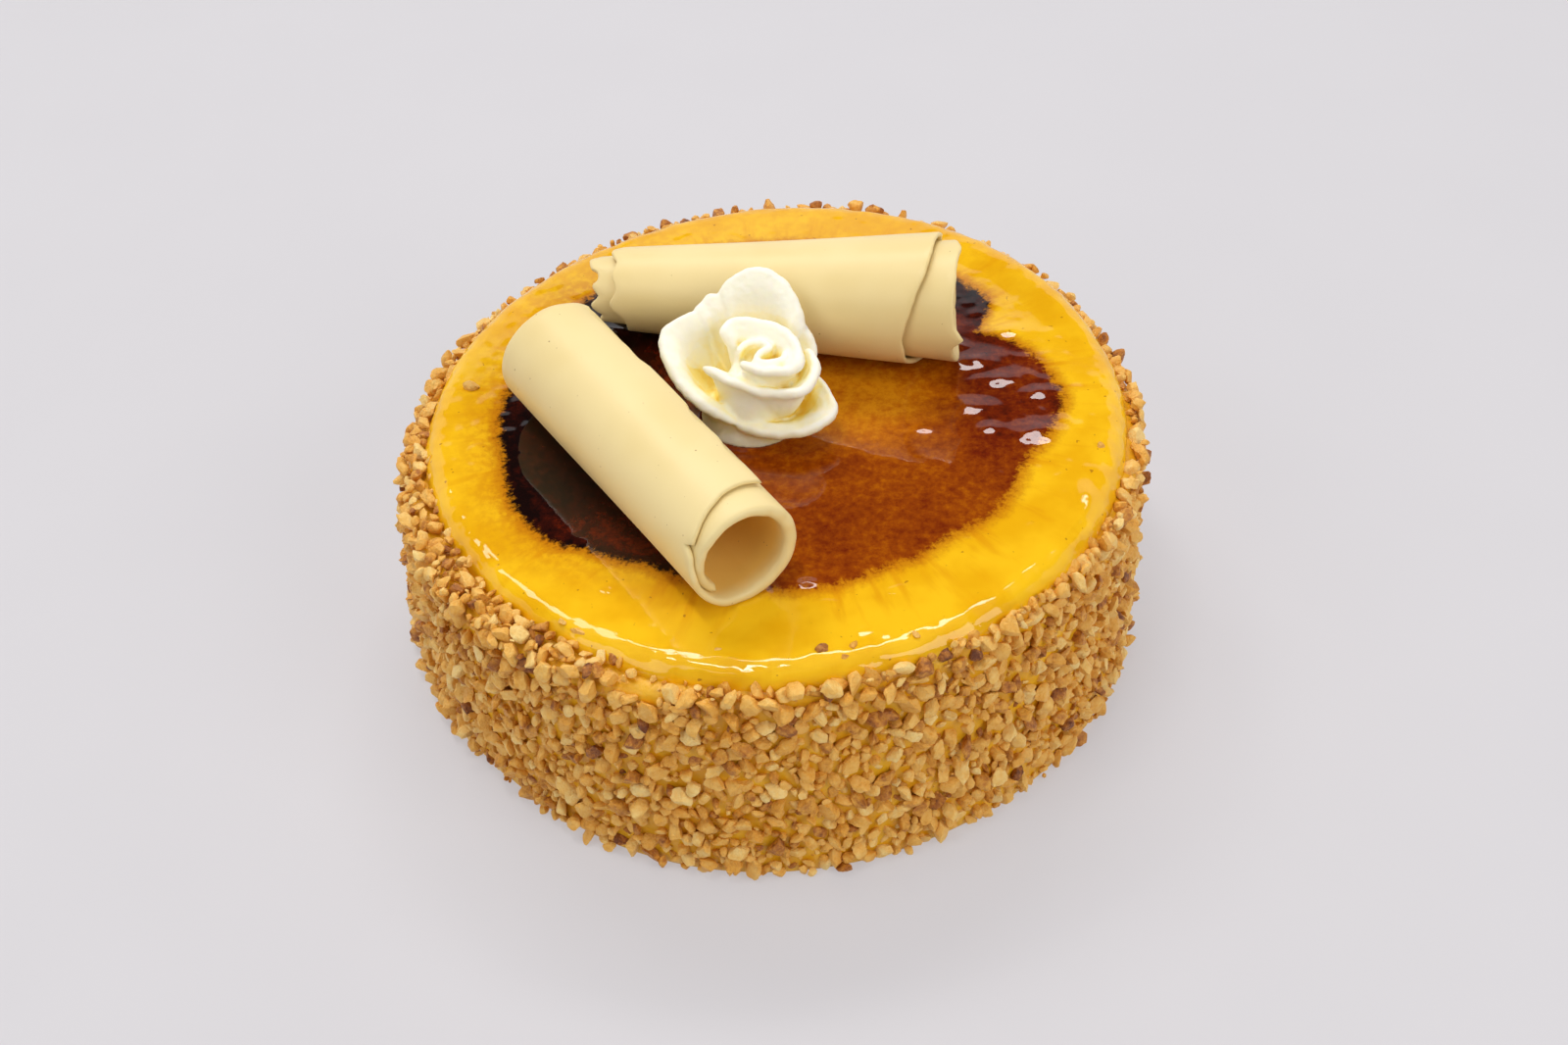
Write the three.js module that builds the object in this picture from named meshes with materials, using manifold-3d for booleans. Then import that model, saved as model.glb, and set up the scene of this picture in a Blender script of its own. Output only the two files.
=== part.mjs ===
// A round cream and egg yolk cake, ready to serve: a sponge masked in yolk cream, its side pressed with
// chopped roasted almonds, a glazed yolk layer on top, two white chocolate rolls and a piped rose.
// Millimetres, +Z up. The origin is the centre of the cake's flat base, and -Y is the side facing the viewer.

import * as THREE from "three";
import { mergeVertices } from "three/addons/utils/BufferGeometryUtils.js";
import Module from "manifold-3d";

const wasm = await Module();
wasm.setup();

// ---- Driving dimensions -------------------------------------------------------------------------

const CAKE_HEIGHT = 62; // table to glazed top
const GAP = 0.3; // between pieces that touch
const COLUMNS = 64; // facets round the cake

// The cake is spread by hand, so its outlines aren't true circles and don't share a centre. A centre is
// [X, Y], and a wave is [count round the cake, cosine part, sine part]. The coat ends halfway into its
// almonds.
const COAT_FOOT = {
  centre: [-2, -0.9],
  radius: 88.1,
  waves: [[2, 0.7, -1.5], [3, -0.8, 0.3], [4, 0.7, -1.1]],
};
const COAT_TOP = {
  centre: [1.4, 0.5],
  radius: 88.2,
  waves: [[2, -1.5, 2], [3, 0.4, -1], [4, 0.1, -0.2]],
};
const YOLK = {
  centre: [2.6, 0.6],
  radius: 84.4,
  waves: [[2, -1.5, 0.4], [3, -0.4, 0.3], [4, 0.2, -0.3]],
};
const YOLK_EDGE = { depth: 6.8, shoulder: 5.1, undercut: 0.8, arcSteps: 4 };
const FOOT_BEVEL = 1;
const BELLY = 0.2; // how far the side swells at mid height
const COLLAR = { front: 57.8, back: 56.2, slope: 1.8 }; // heights of the almond rim round the yolk layer

// Chopped almonds: the largest are modelled, spread evenly over the side and the rim.
const ALMOND = { size: [2.2, 3.2], stretch: [0.75, 1.15], seed: 7 };
const SIDE_ALMONDS = { count: 345, heights: [2.8, 54.5], out: -0.4 };
const RIM_ALMONDS = { count: 60, heights: [-1.2, 1.8], out: -1.6 }; // these heights start at the rim's own
const STRAY_ALMONDS = [[15.3, -78.3], [-12.8, -77.3], [-70.8, 15.7]]; // that lie on the glaze near its edge

// White chocolate rolls, each a sheet wound inwards from its outer edge. A point on the sheet is `turn` turns
// from that edge, at startAngle + turn seen from the end `to`, where 0 is right and a quarter turn is up.
// Each pair in thickness, cutFrom and cutTo starts with a turn, and each piece of a cut is how far the ragged
// end stops short of `from` or `to`.
const SHEET_PITCH = 1.77; // how much nearer the axis each turn lies
const ROLLS = [
  {
    name: "white_chocolate_roll_left",
    from: [-49.2, 11.2],
    to: [-4.9, -63.8],
    radii: [14.6, 14],
    startAngle: THREE.MathUtils.degToRad(46),
    turns: 1.5,
    thickness: [[0, 1.1], [0.5, 1.5], [0.75, 2.5], [1.5, 2.1]],
    cutFrom: [[0, 4], [0.45, 0.5], [1.5, 1]],
    cutTo: [[0, 8.8], [0.12, 7.6], [0.25, 4.6], [0.37, 1.6], [0.5, 0.3], [0.75, 0], [1, 0.4], [1.5, 2.4]],
  },
  {
    name: "white_chocolate_roll_right",
    from: [-39.9, 38.6],
    to: [47.7, 15.9],
    radii: [10.6, 17.2],
    startAngle: THREE.MathUtils.degToRad(-62),
    turns: 2.05,
    thickness: [[0, 1.1], [2.05, 1.5]],
    cutFrom: [[0, 9], [0.3, 6.5], [0.62, 8], [0.85, 10], [1.1, 1.5], [1.35, 0], [1.6, 3], [2.05, 2]],
    cutTo: [[0, 12], [0.3, 6], [0.48, 9], [0.58, 13], [0.8, 12.5], [1.1, 4], [1.3, 0.5], [1.7, 0]],
  },
];
const ROLL_STEPS = { perTurn: 22, along: 3 };

// The piped rose leans against the right-hand roll and faces the viewer. Heights are above the glaze, and
// the heart moves over by `lean` on its way to `leanHeight`. Its rings are [radius, height].
const ROSE = {
  centre: [-2.9, -2],
  lean: [3.4, -3],
  leanHeight: 20,
  heart: [[12.3, 0], [9.8, 6], [6.1, 14.8]],
};
const HEART_SIDES = 18;
const PETAL = { root: 4.4, lip: 2.4, stepsUp: 3, degreesPerStep: 17 }; // thicknesses and facets

// A petal grows from the heart at `footHeight`, where it is `foot` of the way out to its rim, and ends in a
// thick lip through the rim points [angle in degrees, radius, height]. It swells by `bulge` on the way.
const FRONT_PETAL = {
  foot: 0.5,
  footHeight: 0.4,
  bulge: 0.6,
  rim: [[-113, 11.3, 4.5], [-80, 14, 4.3], [-52, 18.9, 4.8], [-27, 21.6, 6.5], [-1, 16.3, 10.4]],
};
const LEFT_PETAL = {
  foot: 0.55,
  footHeight: 1.5,
  bulge: 1.4,
  rim: [[128, 20.3, 19.3], [150, 23.6, 16.5], [173, 19.7, 13.4], [203, 15, 9.4], [250, 11.8, 5.5]],
};
const BACK_LEFT_PETAL = {
  foot: 0.6,
  footHeight: 5,
  bulge: 1,
  rim: [[103, 18.1, 22], [116, 20.5, 21.1], [130, 20.2, 18.3]],
};
const BACK_PETAL = {
  foot: 0.5,
  footHeight: 5,
  bulge: 1.2,
  rim: [[26, 15.7, 17.7], [47, 18, 23.6], [66, 19.7, 26.8], [84, 20, 27.6], [100, 20, 25.2], [111, 19, 21.3]],
};
const RIGHT_PETAL = {
  foot: 0.6,
  footHeight: 3,
  bulge: 1,
  rim: [[2, 14.2, 11.4], [16, 16.7, 13.8], [28, 16.9, 16.3], [40, 16.7, 18.7]],
};
const MIDDLE_PETAL = {
  foot: 0.55,
  footHeight: 4,
  bulge: 0.8,
  rim: [[-170, 12, 16.7], [-125, 9, 15.7], [-77, 12, 15], [-48, 18, 15.7], [-22, 17.5, 17], [0, 15, 18.3]],
};
const INNER_PETAL = {
  foot: 0.55,
  footHeight: 8,
  bulge: 0.5,
  rim: [[-115, 7, 20], [-72, 11, 20], [-38, 15, 20], [-4, 12, 21], [36, 9, 22], [116, 9, 22], [152, 8, 21]],
};
const PETALS = [
  FRONT_PETAL,
  LEFT_PETAL,
  BACK_LEFT_PETAL,
  BACK_PETAL,
  RIGHT_PETAL,
  MIDDLE_PETAL,
  INNER_PETAL,
];
const BUD = { radii: [5.2, 1.1], turns: 1.3, heights: [9, 20.5], from: 150, thickness: 1.4, squash: 0.85 };

// ---- Helpers ------------------------------------------------------------------------------------

const TURN = Math.PI * 2;
const UP = new THREE.Vector3(0, 0, 1);
const lerp = THREE.MathUtils.lerp;

// A repeatable stream of numbers from 0 to 1.
function randomStream(seed) {
  let state = seed;
  return () => {
    state = (state + 0x6d2b79f5) | 0;
    let t = Math.imul(state ^ (state >>> 15), 1 | state);
    t = (t + Math.imul(t ^ (t >>> 7), 61 | t)) ^ t;
    return ((t ^ (t >>> 14)) >>> 0) / 4294967296;
  };
}

// The value at x of a line through [x, y] pairs.
function along(pairs, x) {
  const next = pairs.findIndex(([at]) => at >= x);
  if (next === 0) return pairs[0][1];
  if (next < 0) return pairs[pairs.length - 1][1];
  const [x0, y0] = pairs[next - 1];
  const [x1, y1] = pairs[next];
  return lerp(y0, y1, (x - x0) / (x1 - x0));
}

function geometryFrom(points, faces) {
  const geometry = new THREE.BufferGeometry();
  const coordinates = points.flatMap((p) => [p.x, p.y, p.z]);
  geometry.setAttribute("position", new THREE.Float32BufferAttribute(coordinates, 3));
  geometry.setIndex(faces.flat());
  return geometry;
}

// A closed skin through rings of points, from the lowest ring to the highest, with a fan over each end.
function stackedRings(rings) {
  const count = rings[0].length;
  const points = rings.flat();
  const faces = [];
  for (let j = 0; j < rings.length - 1; j++) {
    for (let i = 0; i < count; i++) {
      const a = j * count + i;
      const b = j * count + ((i + 1) % count);
      faces.push([a, b, b + count], [a, b + count, a + count]);
    }
  }
  const middle = (ring) => ring.reduce((sum, p) => sum.add(p), new THREE.Vector3()).divideScalar(count);
  const bottom = points.push(middle(rings[0])) - 1;
  const top = points.push(middle(rings[rings.length - 1])) - 1;
  const last = (rings.length - 1) * count;
  for (let i = 0; i < count; i++) {
    const n = (i + 1) % count;
    faces.push([n, i, bottom], [last + i, last + n, top]);
  }
  return geometryFrom(points, faces);
}

// A closed sheet between two faces: sideAt(u, v, 0) is the face it shows outwards, sideAt(u, v, 1) the other.
function thickSheet(uSteps, vSteps, sideAt) {
  const points = [];
  const at = (i, j, side) => (side * (uSteps + 1) + i) * (vSteps + 1) + j;
  for (const side of [0, 1]) {
    for (let i = 0; i <= uSteps; i++) {
      for (let j = 0; j <= vSteps; j++) points.push(sideAt(i / uSteps, j / vSteps, side));
    }
  }
  const faces = [];
  const quad = (a, b, c, d) => faces.push([a, b, c], [a, c, d]);
  for (let i = 0; i < uSteps; i++) {
    for (let j = 0; j < vSteps; j++) {
      quad(at(i, j, 0), at(i + 1, j, 0), at(i + 1, j + 1, 0), at(i, j + 1, 0));
      quad(at(i, j, 1), at(i, j + 1, 1), at(i + 1, j + 1, 1), at(i + 1, j, 1));
    }
    quad(at(i, 0, 0), at(i, 0, 1), at(i + 1, 0, 1), at(i + 1, 0, 0));
    quad(at(i, vSteps, 0), at(i + 1, vSteps, 0), at(i + 1, vSteps, 1), at(i, vSteps, 1));
  }
  for (let j = 0; j < vSteps; j++) {
    quad(at(0, j, 0), at(0, j + 1, 0), at(0, j + 1, 1), at(0, j, 1));
    quad(at(uSteps, j, 0), at(uSteps, j, 1), at(uSteps, j + 1, 1), at(uSteps, j + 1, 0));
  }
  return geometryFrom(points, faces);
}

function solidFrom(geometry) {
  const bare = geometry.clone();
  bare.deleteAttribute("normal");
  bare.deleteAttribute("uv");
  const merged = mergeVertices(bare, 1e-4);
  return new wasm.Manifold(
    new wasm.Mesh({
      numProp: 3,
      vertProperties: new Float32Array(merged.attributes.position.array),
      triVerts: new Uint32Array(merged.index.array),
    }),
  );
}

// Fuses geometries into one body, less the rooms cut from it. Sealed hollows are filled and scraps left out.
function fuse(geometries, rooms = []) {
  const joined = rooms.reduce(
    (body, room) => body.subtract(solidFrom(room)),
    wasm.Manifold.union(geometries.map(solidFrom)),
  );
  const bodies = joined.decompose().sort((a, b) => b.volume() - a.volume());
  const { numProp, numVert, vertProperties, triVerts } = bodies[0].getMesh();
  const points = [];
  for (let i = 0; i < numVert; i++) {
    points.push(new THREE.Vector3().fromArray(vertProperties, i * numProp));
  }
  const geometry = geometryFrom(points, []);
  geometry.setIndex(new THREE.BufferAttribute(triVerts, 1));
  return geometry;
}

function named(name, geometry, color, roughness) {
  geometry.computeVertexNormals();
  const mesh = new THREE.Mesh(geometry, new THREE.MeshStandardMaterial({ color, roughness, metalness: 0 }));
  mesh.name = name;
  return mesh;
}

// ---- The cake's outline -------------------------------------------------------------------------

// A point of an outline that has a centre, a radius and waves.
function outlinePoint({ centre, radius, waves }, angle, height, out = 0) {
  const wave = waves.reduce((sum, [n, c, s]) => sum + c * Math.cos(n * angle) + s * Math.sin(n * angle), 0);
  const reach = radius + out + wave;
  return new THREE.Vector3(centre[0] + reach * Math.cos(angle), centre[1] + reach * Math.sin(angle), height);
}

// A point of the coat's side, or `out` millimetres outside it.
function coatPoint(angle, height, out = 0) {
  const foot = outlinePoint(COAT_FOOT, angle, height, out);
  return foot.lerp(outlinePoint(COAT_TOP, angle, height, out), height / CAKE_HEIGHT);
}

const yolkPoint = (angle, height, out = 0) => outlinePoint(YOLK, angle, height, out);

// The almond rim is a little lower at the back.
const collarHeight = (angle) => lerp(COLLAR.front, COLLAR.back, (1 + Math.sin(angle)) / 2);

const ringOf = (pointAt) => Array.from({ length: COLUMNS }, (_, i) => pointAt((i / COLUMNS) * TURN));

// ---- Almonds ------------------------------------------------------------------------------------

const random = randomStream(ALMOND.seed);

// One chopped piece: an eight-sided chip with uneven corners, turned at random.
function almondChip(place) {
  const chip = new THREE.OctahedronGeometry(lerp(...ALMOND.size, random()));
  chip.deleteAttribute("uv");
  chip.deleteAttribute("normal");
  const solid = mergeVertices(chip);
  const corners = solid.getAttribute("position");
  for (let i = 0; i < corners.count; i++) {
    const stretch = lerp(...ALMOND.stretch, random());
    corners.setXYZ(i, corners.getX(i) * stretch, corners.getY(i) * stretch, corners.getZ(i) * stretch);
  }
  const turn = new THREE.Euler(random() * TURN, random() * TURN, random() * TURN);
  solid.applyMatrix4(new THREE.Matrix4().makeRotationFromEuler(turn));
  return solid.translate(place.x, place.y, place.z);
}

// Chips spread evenly over a band of the coat, each next one a golden turn further round and a step higher.
// The band's heights start at baseAt(angle).
function almondBand({ count, heights, out }, baseAt = () => 0) {
  const golden = (3 - Math.sqrt(5)) * Math.PI;
  return Array.from({ length: count }, (_, i) => {
    const height = baseAt(i * golden) + lerp(...heights, (i + 0.5) / count);
    return almondChip(coatPoint(i * golden, height, out));
  });
}

// ---- Pieces -------------------------------------------------------------------------------------

function cakeBody() {
  const core = stackedRings([
    ringOf((angle) => coatPoint(angle, 0, -FOOT_BEVEL)),
    ringOf((angle) => coatPoint(angle, FOOT_BEVEL)),
    ringOf((angle) => coatPoint(angle, CAKE_HEIGHT / 2, BELLY)),
    ringOf((angle) => coatPoint(angle, collarHeight(angle) - COLLAR.slope)),
    ringOf((angle) => coatPoint(angle, collarHeight(angle), -COLLAR.slope)),
    ringOf((angle) => yolkPoint(angle, collarHeight(angle), -YOLK_EDGE.shoulder)),
  ]);
  const { depth } = YOLK_EDGE;
  const yolkRoom = stackedRings([
    ringOf((angle) => yolkPoint(angle, CAKE_HEIGHT - depth - GAP, GAP)),
    ringOf((angle) => yolkPoint(angle, CAKE_HEIGHT + depth, GAP)),
  ]);
  const almonds = [...almondBand(SIDE_ALMONDS), ...almondBand(RIM_ALMONDS, collarHeight)];
  return fuse([core, ...almonds], [yolkRoom]);
}

function yolkLayer() {
  const { depth, shoulder, undercut, arcSteps } = YOLK_EDGE;
  const rings = [ringOf((angle) => yolkPoint(angle, CAKE_HEIGHT - depth, -undercut))];
  for (let k = 0; k <= arcSteps; k++) {
    const slope = (k / arcSteps) * (Math.PI / 2);
    const height = CAKE_HEIGHT - shoulder * (1 - Math.sin(slope));
    rings.push(ringOf((angle) => yolkPoint(angle, height, -shoulder * (1 - Math.cos(slope)))));
  }
  const strays = STRAY_ALMONDS.map(([x, y]) => almondChip(new THREE.Vector3(x, y, CAKE_HEIGHT + 0.4)));
  return fuse([stackedRings(rings), ...strays]);
}

// The line down the middle of a roll that rests on the glaze, from its start to its end.
function rollAxis({ from, to, radii, startAngle }) {
  const samples = Array.from({ length: 72 }, (_, i) => i / 72);
  const depthBelow = (radius) =>
    Math.max(...samples.map((turn) => (SHEET_PITCH * turn - radius) * Math.sin(startAngle + turn * TURN)));
  const [start, end] = radii.map((radius) => CAKE_HEIGHT + GAP + depthBelow(radius));
  return new THREE.Line3(new THREE.Vector3(...from, start), new THREE.Vector3(...to, end));
}

function chocolateRoll(roll) {
  const { radii, startAngle, turns, thickness, cutFrom, cutTo } = roll;
  const line = rollAxis(roll);
  const length = line.distance();
  const axis = line.delta(new THREE.Vector3()).normalize();
  const right = new THREE.Vector3().crossVectors(UP, axis).normalize();
  const up = new THREE.Vector3().crossVectors(axis, right);
  return thickSheet(Math.round(turns * ROLL_STEPS.perTurn), ROLL_STEPS.along, (u, v, side) => {
    const turn = u * turns;
    const reach = lerp(along(cutFrom, turn), length - along(cutTo, turn), v);
    const radius = lerp(...radii, reach / length) - SHEET_PITCH * turn - side * along(thickness, turn);
    const angle = startAngle + turn * TURN;
    const point = line.start.clone().addScaledVector(axis, reach);
    point.addScaledVector(right, radius * Math.cos(angle));
    return point.addScaledVector(up, radius * Math.sin(angle));
  });
}

// Where the rose's heart is at a height above the glaze.
function heartAt(height) {
  const lean = height / ROSE.leanHeight;
  const [x, y] = ROSE.centre;
  return new THREE.Vector3(x + ROSE.lean[0] * lean, y + ROSE.lean[1] * lean, CAKE_HEIGHT + GAP + height);
}

// A point out from the rose's centre.
function rimPoint([degrees, radius, height]) {
  const angle = THREE.MathUtils.degToRad(degrees);
  const [x, y] = ROSE.centre;
  return new THREE.Vector3(
    x + radius * Math.cos(angle),
    y + radius * Math.sin(angle),
    CAKE_HEIGHT + GAP + height,
  );
}

function rosePetal({ rim, foot, footHeight, bulge }) {
  const rimCurve = new THREE.CatmullRomCurve3(rim.map(rimPoint), false, "centripetal");
  const span = rim[rim.length - 1][0] - rim[0][0];
  const root = heartAt(footHeight);
  const steps = Math.max(4, Math.round(span / PETAL.degreesPerStep));
  return thickSheet(steps, PETAL.stepsUp, (u, v, side) => {
    const lip = rimCurve.getPoint(u);
    const base = new THREE.Vector3(lerp(root.x, lip.x, foot), lerp(root.y, lip.y, foot), root.z);
    const rise = lip.clone().sub(base);
    const run = Math.hypot(rise.x, rise.y);
    const inner = new THREE.Vector3(-rise.x / run, -rise.y / run, 0).multiplyScalar(rise.z);
    inner.addScaledVector(UP, run).normalize();
    const offset = side * lerp(PETAL.root, PETAL.lip, v) - bulge * Math.sin(Math.PI * v);
    return base.addScaledVector(rise, v).addScaledVector(inner, offset);
  });
}

// The petal curled up at the heart, a spiral that winds inwards.
function roseBud() {
  return thickSheet(14, 1, (u, v, side) => {
    const radius = lerp(...BUD.radii, u) - side * BUD.thickness * (1 - u / 2);
    const angle = THREE.MathUtils.degToRad(BUD.from) + u * BUD.turns * TURN;
    const centre = heartAt(lerp(...BUD.heights, v));
    return centre.add(new THREE.Vector3(radius * Math.cos(angle), radius * BUD.squash * Math.sin(angle), 0));
  });
}

// A solid a little larger than a roll, to keep the rose clear of it.
function rollRoom(roll) {
  const line = rollAxis(roll);
  const [start, end] = roll.radii.map((radius) => radius + 1.4 * GAP);
  const room = new THREE.CylinderGeometry(end, start, line.distance(), 40);
  const axis = line.delta(new THREE.Vector3()).normalize();
  room.applyQuaternion(new THREE.Quaternion().setFromUnitVectors(new THREE.Vector3(0, 1, 0), axis));
  const middle = line.getCenter(new THREE.Vector3());
  return room.translate(middle.x, middle.y, middle.z);
}

function roseHeart() {
  const ring = ([radius, height]) =>
    Array.from({ length: HEART_SIDES }, (_, i) => {
      const angle = (i / HEART_SIDES) * TURN;
      return heartAt(height).add(new THREE.Vector3(radius * Math.cos(angle), radius * Math.sin(angle), 0));
    });
  return stackedRings(ROSE.heart.map(ring));
}

const creamRose = () => fuse([roseHeart(), roseBud(), ...PETALS.map(rosePetal)], ROLLS.map(rollRoom));

// ---- The model ----------------------------------------------------------------------------------

const cake = new THREE.Group();
cake.add(named("almond_cake", cakeBody(), 0xc9954b, 0.7));
cake.add(named("yolk_layer", yolkLayer(), 0xf0b41e, 0.2));
for (const roll of ROLLS) cake.add(named(roll.name, chocolateRoll(roll), 0xeedda6, 0.5));
cake.add(named("cream_rose", creamRose(), 0xfbf3d8, 0.6));

export default cake;
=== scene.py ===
# A round cream and egg yolk cake: its side is pressed with chopped roasted almonds, its glazed yolk layer is
# burnt in the middle, and two white chocolate rolls and a piped cream rose lie on it.
# Sizes are in millimetres until a mesh is made. +X is right, +Y is away from the viewer and +Z is up.

import math

import bmesh
import bpy
import numpy as np
from mathutils import Matrix, Vector, bvhtree, noise

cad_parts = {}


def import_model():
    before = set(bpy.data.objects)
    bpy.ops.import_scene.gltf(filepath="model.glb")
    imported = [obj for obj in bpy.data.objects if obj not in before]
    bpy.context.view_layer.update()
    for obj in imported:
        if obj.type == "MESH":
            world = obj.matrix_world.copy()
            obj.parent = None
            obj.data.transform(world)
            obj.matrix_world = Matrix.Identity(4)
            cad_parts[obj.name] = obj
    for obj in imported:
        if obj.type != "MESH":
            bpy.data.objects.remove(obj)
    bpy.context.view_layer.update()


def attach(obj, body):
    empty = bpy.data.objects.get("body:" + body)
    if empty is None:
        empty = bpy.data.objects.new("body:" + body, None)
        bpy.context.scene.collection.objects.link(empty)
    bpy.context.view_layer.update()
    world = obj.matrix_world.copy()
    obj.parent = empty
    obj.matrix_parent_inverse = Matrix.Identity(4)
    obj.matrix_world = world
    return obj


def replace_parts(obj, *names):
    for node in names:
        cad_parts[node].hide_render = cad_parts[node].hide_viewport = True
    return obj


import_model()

MM = 0.001
TURN = 2 * math.pi
GOLDEN = (3 - math.sqrt(5)) * math.pi

# ---- Sizes that the solids share ----------------------------------------------------------------------

CAKE_HEIGHT = 62
# Pieces that touch keep this gap.
GAP = 0.3
# An outline is centre, radius and waves: (count round the cake, cosine part, sine part).
COAT_FOOT = ((-2, -0.9), 88.1, ((2, 0.7, -1.5), (3, -0.8, 0.3), (4, 0.7, -1.1)))
COAT_TOP = ((1.4, 0.5), 88.2, ((2, -1.5, 2), (3, 0.4, -1), (4, 0.1, -0.2)))
YOLK = ((2.6, 0.6), 84.4, ((2, -1.5, 0.4), (3, -0.4, 0.3), (4, 0.2, -0.3)))
YOLK_DEPTH = 6.8
YOLK_SHOULDER = 5.1
COLLAR_FRONT, COLLAR_BACK = 57.8, 56.2

# Each roll is a sheet that winds inwards by its pitch a turn. The pairs are (turn, millimetres): thickness,
# and how far its end is cut back.
SHEET_PITCH = 1.77
LEFT_ROLL = dict(
    start=(-49.2, 11.2),
    end=(-4.9, -63.8),
    radii=(14.6, 14),
    start_angle=math.radians(46),
    turns=1.5,
    thickness=((0, 1.1), (0.5, 1.6), (0.66, 3.1), (0.95, 3.1), (1.15, 2.3), (1.5, 2.0)),
    cut_start=((0, 4), (0.45, 0.5), (1.5, 1)),
    cut_end=((0, 8.8), (0.12, 7.6), (0.25, 4.6), (0.37, 1.6), (0.5, 0.3), (0.75, 0), (1, 0.4), (1.5, 2.4)),
)
RIGHT_ROLL = dict(
    start=(-39.9, 38.6),
    end=(47.7, 15.9),
    radii=(10.6, 17.2),
    start_angle=math.radians(-62),
    turns=2.05,
    thickness=((0, 1.1), (2.05, 1.5)),
    cut_start=((0, 9), (0.3, 6.5), (0.62, 8), (0.85, 10), (1.1, 1.5), (1.35, 0), (1.6, 3), (2.05, 2)),
    cut_end=(
        (0, 9), (0.3, 5.2), (0.44, 5.2), (0.5, 6), (0.57, 8.2), (0.62, 9.8), (0.68, 11.6), (0.8, 11.6),
        (0.88, 9), (0.98, 3), (1.1, 3.4), (1.26, 2.6), (1.4, -0.8), (1.64, -0.8), (1.68, -2.8), (1.71, -0.2),
        (1.85, 0), (2.05, 3),
    ),
)

ROSE_CENTRE = Vector((-2.9, -2, CAKE_HEIGHT + GAP))
ROSE_LEAN = Vector((3.4, -3, 0))
LEAN_HEIGHT = 20
ROSE_HEART = ((12.3, 0), (9.8, 6), (6.3, 16.6))
PETAL_ROOT, PETAL_LIP = 4.4, 2.6
LIP_FLARE = 0.9
# Petals: foot, foot height, bulge, rim points (degrees, radius, height).
PETALS = {
    "front": (
        0.5, 0.4, 0.6,
        ((-113, 11.3, 4.5), (-80, 14, 4.3), (-52, 18.9, 4.8), (-27, 21.6, 6.5), (-1, 16.3, 10.4)),
    ),
    "left": (
        0.55, 1.5, 1.4,
        ((128, 20.3, 19.3), (150, 23.6, 16.5), (173, 19.7, 13.4), (203, 15, 9.4), (250, 11.8, 5.5)),
    ),
    "back_left": (
        0.6, 5, 1,
        ((103, 18.1, 22), (116, 20.5, 21.1), (130, 20.2, 18.3)),
    ),
    "back": (
        0.5, 5, 1.2,
        (
            (26, 15.7, 17.7), (47, 18, 23.6), (66, 19.7, 26.8), (84, 20, 27.6), (100, 20, 25.2),
            (111, 19, 21.3),
        ),
    ),
    "right": (
        0.6, 3, 1,
        ((2, 14.2, 11.4), (16, 16.7, 13.8), (28, 16.9, 16.3), (40, 16.7, 18.7)),
    ),
    "middle": (
        0.55, 4, 0.8,
        ((-170, 12, 16.7), (-125, 9, 15.7), (-77, 12, 15), (-48, 18, 15.7), (-22, 17.5, 17), (0, 15, 18.3)),
    ),
    "inner": (
        0.55, 8, 0.5,
        ((-115, 7, 20), (-72, 11, 20), (-38, 15, 20), (-4, 12, 21), (36, 9, 22), (116, 9, 22), (152, 8, 21)),
    ),
}
# The fold at the rose's heart, seen from above.
FOLD_PATH = (
    (-5.6, 1.5), (-4.2, 4.4), (-0.6, 4.6), (1.5, 2.2), (-0.8, 0.2), (-1.6, -2.2), (1.0, -3.4), (4.2, -2.4),
    (5.0, 0.6),
)
FOLD_FOOT, FOLD_TOP = 9, 20.3

# ---- Sizes of what is made here ------------------------------------------------------------------------

# The burnt disc: its edge is this far from its centre at each angle in degrees.
BURN_CENTRE = (3.0, 3.9)
BURN_EDGE = (
    (0, 66.3), (7, 64.4), (14, 61.5), (18, 58.4), (20.5, 55.8), (22.5, 54.6), (25, 57.6), (28.5, 61.7),
    (33, 64.6), (45, 64), (88, 63.3), (110, 64.5), (133, 64.5), (152, 65), (170, 65.2), (180, 66.5),
    (194, 66.6), (200, 68.3), (207, 69.7), (215, 69.9), (221, 69.5), (228, 65.6), (234, 64.5), (240, 62.7),
    (250, 63.8), (262, 63.6), (272, 65.3), (279, 65.2), (284, 64.6), (290, 63.3), (296, 64.2), (301, 63.4),
    (306, 63), (312, 64), (317, 64.9), (324, 64), (330, 62.6), (335, 62.5), (340, 64.8), (346, 66.3),
    (352, 67.6), (356, 67.8), (360, 66.3),
)

# Almond pieces on the glaze: X, Y, size, how dark, how deep they are sunk.
STRAYS = (
    (15.3, -78.3, 1.5, 0.5, 0.3),
    (-12.8, -77.3, 1.3, 0.35, 0.6),
    (-70.8, 15.7, 2.0, 0.25, 0.0),
    (8.8, -79.2, 1.9, 0.85, 0.5),
    (13.2, -81.5, 1.2, 0.6, 0.9),
    (-42.3, -68.3, 1.5, 0.4, 0.8),
    (-45.6, -66.0, 1.0, 0.3, 0.3),
    (29.0, -76.5, 1.1, 0.4, 0.3),
    (-67.0, -45.0, 1.3, 0.3, 0.3),
    (76.5, -21.0, 1.0, 0.45, 0.1),
)

# Lumps in the glaze, mostly over its burnt part at the right: place, reach along x and y.
GLAZE_LUMPS = (
    ((49.8, 10.7), 6.5, 3.2), ((56.1, 3.7), 6.0, 2.8), ((64.6, -1.9), 4.0, 2.2), ((48.5, -5.7), 5.0, 2.6),
    ((51.7, -13.1), 2.4, 1.8), ((62.6, -17.0), 5.5, 3.4), ((37.1, -11.7), 3.4, 1.4), ((60.5, 22.0), 4.0, 2.4),
    ((70.6, -38.6), 1.6, 3.0),
)
LUMP_STEEPNESS = 0.225
# Where the glaze hangs lowest over the side and no almonds hold it back: degrees round the cake, and half
# its width.
DRIP_ANGLE, DRIP_SPREAD = 250, 6

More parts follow.
